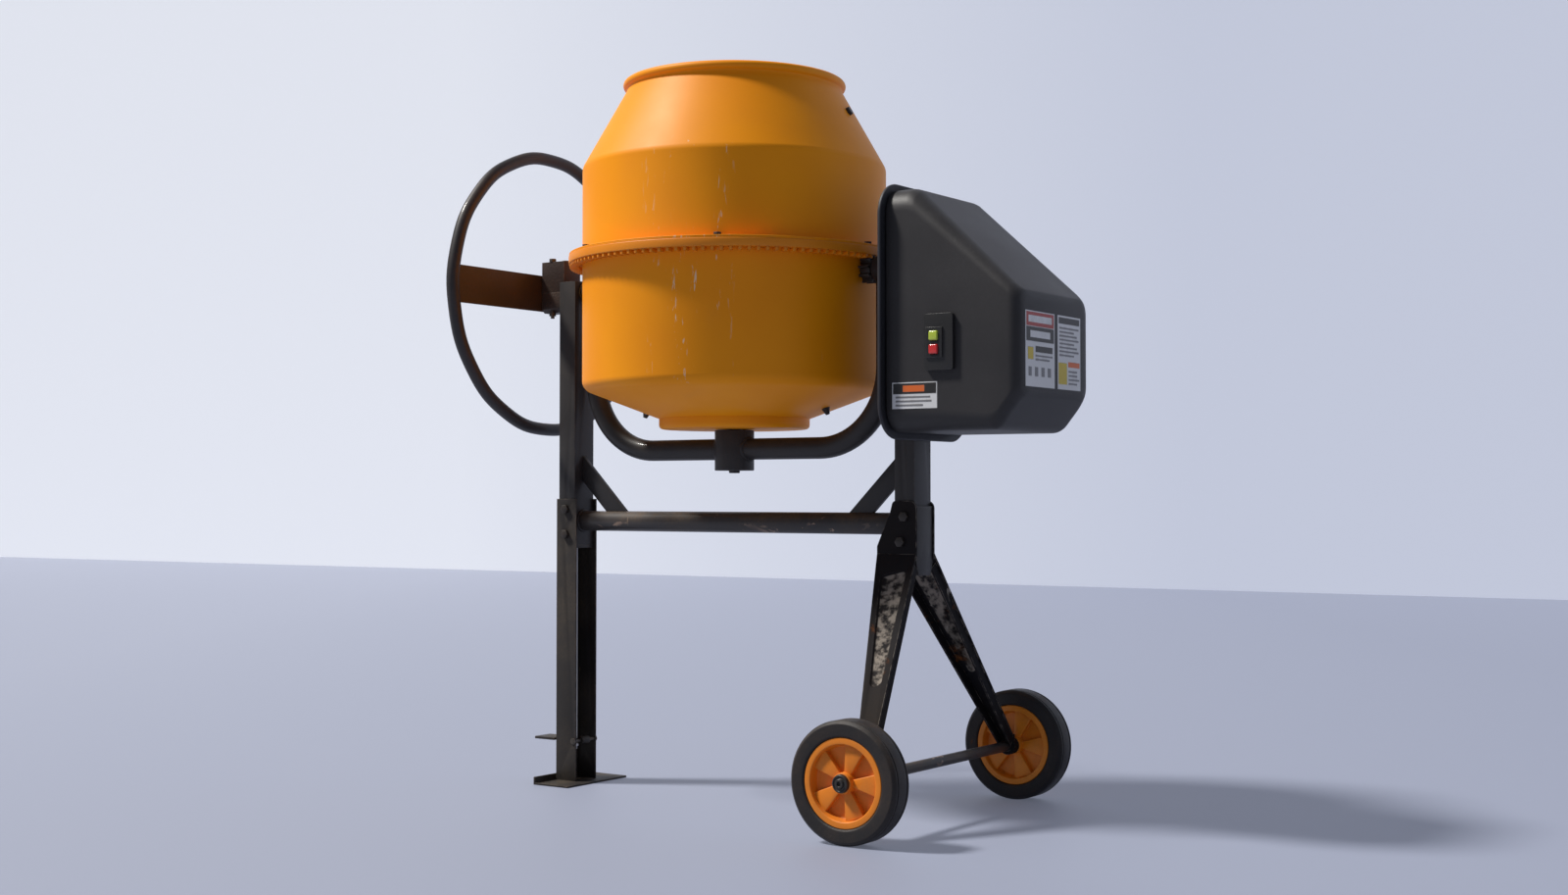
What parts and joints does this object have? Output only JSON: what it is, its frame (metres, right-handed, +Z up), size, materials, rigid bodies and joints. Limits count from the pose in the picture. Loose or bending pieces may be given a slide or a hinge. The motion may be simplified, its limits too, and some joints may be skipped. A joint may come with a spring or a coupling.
{
  "type": "concrete mixer",
  "caption": "Electric drum concrete mixer: tilting drum in a yoke on two posts, hand wheel for tipping, foot pedal lock, belt drive in a housing, foot plate and two road wheels.",
  "frame": {"origin": "on the floor, under the middle of the machine's overall box", "axes": "+X from the tilt wheel to the motor housing, +Y along the axle away from the switch, +Z up"},
  "size_m": [1.2058, 0.686, 1.4111],
  "materials": {
    "drum_paint": "semi-gloss orange paint, worn",
    "ring_paint": "painted cast iron",
    "frame_paint": "black paint, dusty",
    "housing_plastic": "fine-grained charcoal plastic",
    "rim_plastic": "moulded orange plastic",
    "tyre_rubber": "dusty black rubber",
    "black_plastic": "satin black plastic",
    "bright_steel": "turned steel",
    "zinc_bolts": "zinc plated, dull",
    "bronze": "sintered bronze",
    "blade_steel": "bare steel with cement dust",
    "pulley_alloy": "cast alloy",
    "motor_alloy": "painted alloy",
    "belt_rubber": "ribbed belt",
    "switch_plastic": "satin plastic",
    "green_plastic": "gloss green",
    "red_plastic": "gloss red",
    "label_film": "printed film, no lettering"
  },
  "bodies": {
    "frame": {"left_post": "frame_paint", "right_post": "frame_paint", "left_leg": "frame_paint", "foot_plate": "frame_paint", "cross_bar": "frame_paint", "braces": "frame_paint", "front_wheel_leg": "frame_paint", "rear_wheel_leg": "frame_paint", "leg_saddle": "frame_paint", "frame_bolts": "zinc_bolts", "axle": "bright_steel", "pedal_pin": "bright_steel", "rod_guide": "frame_paint", "lock_spring": "bright_steel", "left_bearing_base": "frame_paint", "left_bearing_cap": "frame_paint", "bearing_bolts": "zinc_bolts", "post_bushes": "bronze", "housing_back": "housing_plastic", "housing_cover": "housing_plastic", "cover_screws": "zinc_bolts", "motor_bracket": "frame_paint", "motor": "motor_alloy", "drive_belt": "belt_rubber", "switch_box": "switch_plastic", "label_plates": "label_film", "cable_gland": "black_plastic"},
    "front_wheel": {"front_tyre": "tyre_rubber", "front_rim": "rim_plastic", "front_hub_cap": "black_plastic"},
    "rear_wheel": {"rear_tyre": "tyre_rubber", "rear_rim": "rim_plastic", "rear_hub_cap": "black_plastic"},
    "pedal": {"foot_pedal": "frame_paint"},
    "lock": {"lock_rod": "bright_steel"},
    "yoke": {"tilt_wheel": "frame_paint", "wheel_hub": "frame_paint", "hub_bolts": "zinc_bolts", "left_trunnion": "bright_steel", "right_trunnion": "bright_steel", "shaft_bushes": "bronze", "yoke_arm_left": "frame_paint", "yoke_arm_right": "frame_paint", "yoke_hub": "frame_paint", "hub_bearings": "bright_steel"},
    "drum": {"spindle": "bright_steel", "spindle_nuts": "bright_steel", "drum_dish": "drum_paint", "drum_lower": "drum_paint", "drum_upper": "drum_paint", "ring_gear": "ring_paint", "drum_bolts": "zinc_bolts", "mixing_blades": "blade_steel"},
    "drive": {"pinion": "bright_steel", "drive_shaft": "bright_steel", "driven_pulley": "pulley_alloy"},
    "motor_drive": {"motor_pulley": "pulley_alloy"},
    "start": {"start_button": "green_plastic"},
    "stop": {"stop_button": "red_plastic"}
  },
  "joints": [
    {"name": "yoke_tilt", "type": "hinge", "parent": "frame", "child": "yoke", "pos_m": [-0.0999, 0, 1.02], "axis": [1, 0, 0], "range_deg": [-120, 120]},
    {"name": "drum_spin", "type": "hinge", "parent": "yoke", "child": "drum", "pos_m": [-0.0999, 0, 1.02], "axis": [0, 0, 1], "continuous": true},
    {"name": "pinion_spin", "type": "hinge", "parent": "yoke", "child": "drive", "pos_m": [-0.0999, 0, 1.02], "axis": [1, 0, 0], "continuous": true},
    {"name": "motor_spin", "type": "hinge", "parent": "frame", "child": "motor_drive", "pos_m": [-0.0999, 0, 0.81], "axis": [1, 0, 0], "continuous": true},
    {"name": "front_wheel_spin", "type": "hinge", "parent": "frame", "child": "front_wheel", "pos_m": [0.3641, -0.309, 0.1065], "axis": [0, 1, 0], "continuous": true},
    {"name": "rear_wheel_spin", "type": "hinge", "parent": "frame", "child": "rear_wheel", "pos_m": [0.3641, 0.309, 0.1065], "axis": [0, 1, 0], "continuous": true},
    {"name": "pedal_press", "type": "hinge", "parent": "frame", "child": "pedal", "pos_m": [-0.4859, 0, 0.086], "axis": [0, -1, 0], "range_deg": [0, 18], "stiffness_Nm_per_rad": 12, "springref_deg": -20.05},
    {"name": "lock_pull", "type": "slide", "parent": "frame", "child": "lock", "axis": [0, 0, -1], "range_m": [0, 0.007], "deforming": ["lock_spring"]},
    {"name": "start_press", "type": "slide", "parent": "frame", "child": "start", "axis": [0, 1, 0], "range_m": [0, 0.003], "stiffness_N_per_m": 600, "springref_m": -0.002},
    {"name": "stop_press", "type": "slide", "parent": "frame", "child": "stop", "axis": [0, 1, 0], "range_m": [0, 0.003], "stiffness_N_per_m": 600, "springref_m": -0.002}
  ],
  "couplings": [
    {"joint": "pinion_spin", "follows": "drum_spin", "ratio": -13.333},
    {"joint": "motor_spin", "follows": "drum_spin", "ratio": -53.333},
    {"joint": "lock_pull", "follows": "pedal_press", "m_per_rad": 0.022}
  ]
}
